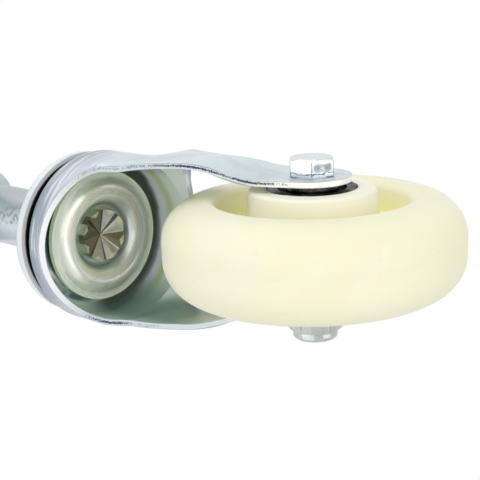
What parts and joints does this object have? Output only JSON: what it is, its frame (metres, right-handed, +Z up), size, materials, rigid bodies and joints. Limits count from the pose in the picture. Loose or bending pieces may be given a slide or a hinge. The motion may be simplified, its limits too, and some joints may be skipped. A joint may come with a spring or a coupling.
{
  "type": "spring-loaded gate wheel",
  "caption": "Sprung swivel wheel for a gate: a nylon wheel in a pressed steel fork trails under a ball-raced head, and a wall bracket guides its spring-loaded rod.",
  "frame": {"origin": "centre of the bracket plate's back face, where it lies on the gate", "axes": "+Z up along the rod, +Y out of the plate's back face towards the gate, X along the axle at rest"},
  "size_m": [0.08, 0.1233, 0.349],
  "materials": {
    "zinc_strip": "zinc plated",
    "zinc_press": "zinc plated, pressed",
    "zinc_rod": "zinc plated, turned",
    "bright_zinc": "bright zinc",
    "spring_wire": "drawn wire, zinc plated",
    "ball_steel": "polished",
    "bearing_steel": "ground",
    "bearing_shield": "blackened sheet",
    "cage_steel": "pressed strip",
    "insert_nylon": "natural nylon",
    "wheel_nylon": "moulded nylon, satin"
  },
  "bodies": {
    "bracket": {"bracket": "zinc_strip", "upper_spring_washer": "zinc_strip", "spring": "spring_wire"},
    "stem": {"stem": "zinc_rod", "cross_pin": "zinc_rod", "lower_spring_washer": "zinc_strip", "top_race": "zinc_press", "lower_race": "zinc_press"},
    "swivel_balls": {"upper_swivel_balls": "ball_steel", "lower_swivel_balls": "ball_steel"},
    "fork": {"fork": "zinc_press", "axle_bolt": "bright_zinc", "axle_nut": "bright_zinc", "nut_insert": "insert_nylon", "spacer_tube": "zinc_rod", "leg_spacers": "zinc_rod", "left_inner_ring": "bearing_steel", "right_inner_ring": "bearing_steel"},
    "bearing_balls": {"left_bearing_balls": "ball_steel", "right_bearing_balls": "ball_steel", "left_cage": "cage_steel", "right_cage": "cage_steel"},
    "wheel": {"wheel": "wheel_nylon", "left_outer_ring": "bearing_steel", "right_outer_ring": "bearing_steel", "left_shields": "bearing_shield", "right_shields": "bearing_shield"}
  },
  "joints": [
    {"name": "rod_slide", "type": "slide", "parent": "bracket", "child": "stem", "axis": [0, 0, 1], "range_m": [0, 0.045], "stiffness_N_per_m": 4000, "springref_m": -0.03, "deforming": ["spring"]},
    {"name": "fork_swivel", "type": "hinge", "parent": "stem", "child": "fork", "pos_m": [0, -0.04, -0.1396], "axis": [0, 0, 1], "continuous": true},
    {"name": "swivel_ball_roll", "type": "hinge", "parent": "stem", "child": "swivel_balls", "pos_m": [0, -0.04, -0.1396], "axis": [0, 0, 1], "continuous": true},
    {"name": "wheel_spin", "type": "hinge", "parent": "fork", "child": "wheel", "pos_m": [0, -0.0733, -0.214], "axis": [1, 0, 0], "continuous": true},
    {"name": "bearing_ball_roll", "type": "hinge", "parent": "fork", "child": "bearing_balls", "pos_m": [0, -0.0733, -0.214], "axis": [1, 0, 0], "continuous": true}
  ],
  "couplings": [
    {"joint": "swivel_ball_roll", "follows": "fork_swivel", "ratio": 0.5},
    {"joint": "bearing_ball_roll", "follows": "wheel_spin", "ratio": 0.619}
  ]
}
